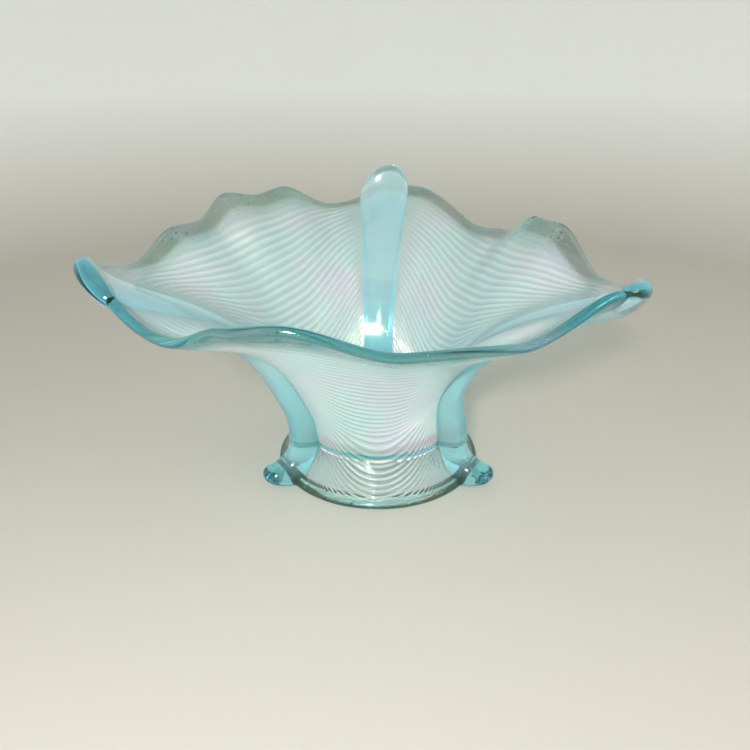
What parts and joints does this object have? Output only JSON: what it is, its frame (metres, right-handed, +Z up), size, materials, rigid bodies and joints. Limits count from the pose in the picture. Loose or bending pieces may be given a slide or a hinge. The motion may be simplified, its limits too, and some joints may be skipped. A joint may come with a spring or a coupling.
{
  "type": "footed carnival glass bowl",
  "caption": "Free-standing pressed-glass candy bowl with a hand-crimped cornered rim, swag-lined panels, smooth ribs up to the corners and claw toes round a flared collar foot",
  "frame": {"origin": "centre of the foot ring, on the plane that the bowl rests on", "axes": "+Z up along the collar's axis; +Y towards the single corner at the back, -Y towards the low front panel; +X to the right seen from the front"},
  "size_m": [0.1618, 0.1593, 0.0927],
  "materials": {
    "iridised_wall_glass": "pressed, satin, pale iridescence",
    "sky_blue_rib_glass": "pressed, fire polished",
    "teal_edge_glass": "fire polished",
    "deep_aqua_foot_glass": "fire polished",
    "clear_collar_glass": "pressed, clear"
  },
  "bodies": {
    "root": {"foot_ring": "teal_edge_glass", "collar_skirt": "clear_collar_glass", "well_floor": "clear_collar_glass", "drapery_panel_front": "iridised_wall_glass", "rim_front": "teal_edge_glass", "drapery_panel_back_right": "iridised_wall_glass", "rim_back_right": "teal_edge_glass", "drapery_panel_back_left": "iridised_wall_glass", "rim_back_left": "teal_edge_glass", "corner_rib_left": "sky_blue_rib_glass", "claw_foot_left": "deep_aqua_foot_glass", "corner_rib_right": "sky_blue_rib_glass", "claw_foot_right": "deep_aqua_foot_glass", "corner_rib_back": "sky_blue_rib_glass", "claw_foot_back": "deep_aqua_foot_glass"}
  },
  "joints": []
}
